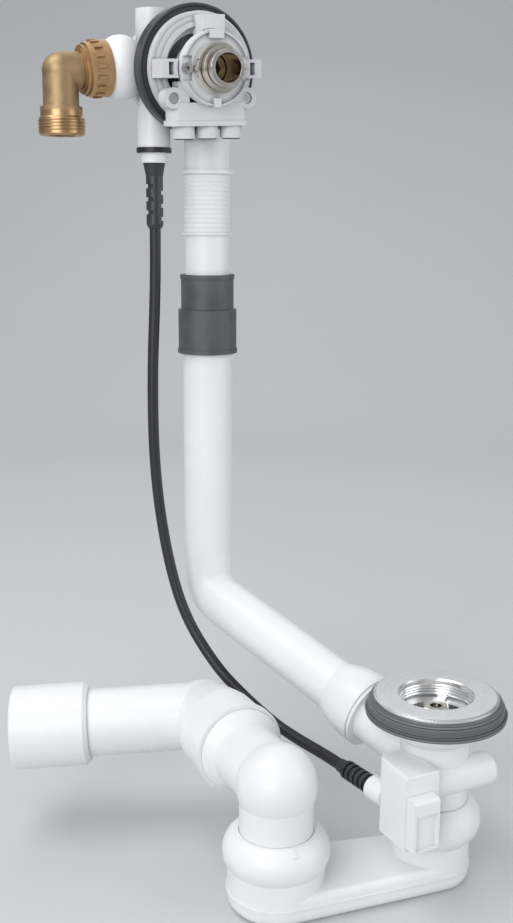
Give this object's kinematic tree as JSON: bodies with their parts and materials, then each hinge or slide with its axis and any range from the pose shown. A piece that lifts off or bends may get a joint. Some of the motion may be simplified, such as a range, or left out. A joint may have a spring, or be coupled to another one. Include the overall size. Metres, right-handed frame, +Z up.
{
  "type": "bath waste and overflow",
  "caption": "Bath waste and overflow set: overflow head with water inlet and filling nozzles, bent overflow pipe, cable-driven pop-up waste, flat trap, riser elbow and outlet bend.",
  "frame": {"origin": "centre of the waste flange's top face", "axes": "+Z up along the waste, overflow head facing -Y into the bath, water inlet towards -X"},
  "size_m": [0.2473, 0.2429, 0.4916],
  "materials": {
    "white_plastic": "satin moulded plastic",
    "grey_plastic": "matt moulded plastic",
    "black_rubber": "soft matt rubber",
    "dark_rubber": "smooth matt rubber",
    "black_plastic": "satin",
    "brass": "plain cast and turned",
    "nickel": "nickel plated",
    "chrome": "polished",
    "steel": "bright"
  },
  "bodies": {
    "assembly": {"overflow_body": "white_plastic", "gear_cover": "white_plastic", "overflow_gasket": "black_rubber", "front_ring": "grey_plastic", "front_drum": "grey_plastic", "front_hub": "grey_plastic", "nozzle_block": "grey_plastic", "nozzle_plate": "grey_plastic", "nozzle_inserts": "black_plastic", "trim_stub": "nickel", "clamp_screws": "steel", "block_screws": "steel", "inlet_elbow": "brass", "union_nut": "brass", "inlet_washer": "black_rubber", "cable_ring": "black_plastic", "cable_ferrule": "white_plastic", "upper_boot": "black_rubber", "bowden_cable": "black_plastic", "lower_boot": "black_rubber", "ribbed_pipe": "white_plastic", "pipe_coupling": "dark_rubber", "overflow_pipe": "white_plastic", "leg_seal": "black_rubber", "waste_flange": "chrome", "flange_cross": "chrome", "flange_bolt": "nickel", "flange_gasket": "black_rubber", "waste_body": "white_plastic", "actuator_housing": "white_plastic", "actuator_cover": "white_plastic", "shaft_cap": "white_plastic", "shaft_seals": "black_rubber"},
    "spindle": {"drive_spindle": "brass", "drive_pinion": "black_plastic", "spindle_seals": "black_rubber"},
    "rack": {"cable_rack": "black_plastic", "upper_core": "steel"},
    "slider": {"pull_slider": "black_plastic", "lower_core": "steel"},
    "lever": {"lever_shaft": "steel", "lever_fork": "black_plastic", "lift_arm": "black_plastic"},
    "pin": {"lift_pin": "steel"},
    "trap": {"trap_body": "white_plastic", "trap_inlet_seal": "black_rubber", "riser_seal": "black_rubber"},
    "riser": {"riser_elbow": "white_plastic"},
    "outlet": {"outlet_bend": "white_plastic", "outlet_seal": "black_rubber", "outlet_sleeve": "white_plastic"}
  },
  "joints": [
    {"name": "spindle_turn", "type": "hinge", "parent": "assembly", "child": "spindle", "pos_m": [-0.074, 0.157, 0.3425], "axis": [0, 0.9968, 0.0802], "range_deg": [0, 52.72]},
    {"name": "rack_lift", "type": "slide", "parent": "assembly", "child": "rack", "axis": [0, 0, 1], "range_m": [0, 0.0121]},
    {"name": "slider_pull", "type": "slide", "parent": "assembly", "child": "slider", "axis": [0, 1, 0], "range_m": [0, 0.0121]},
    {"name": "lever_turn", "type": "hinge", "parent": "assembly", "child": "lever", "pos_m": [0, -0.014, -0.044], "axis": [1, 0, 0], "range_deg": [0, 59.59]},
    {"name": "pin_lift", "type": "slide", "parent": "assembly", "child": "pin", "axis": [0, 0, 1], "range_m": [0, 0.0129]},
    {"name": "trap_swivel", "type": "hinge", "parent": "assembly", "child": "trap", "pos_m": [0, 0, -0.0733], "axis": [0, 0, 1], "range_deg": [0, 90]},
    {"name": "riser_swivel", "type": "hinge", "parent": "trap", "child": "riser", "pos_m": [-0.09178, 0.01503, -0.0768], "axis": [0, 0, 1], "range_deg": [0, 120]},
    {"name": "outlet_swivel", "type": "hinge", "parent": "riser", "child": "outlet", "pos_m": [-0.09178, 0.01503, -0.041], "axis": [0, 1, 0], "range_deg": [-45, 45]}
  ],
  "couplings": [
    {"joint": "rack_lift", "follows": "spindle_turn", "m_per_rad": 0.013042},
    {"joint": "slider_pull", "follows": "spindle_turn", "m_per_rad": 0.013042},
    {"joint": "lever_turn", "follows": "spindle_turn", "ratio": 1.1285},
    {"joint": "pin_lift", "follows": "spindle_turn", "m_per_rad": 0.013911}
  ]
}
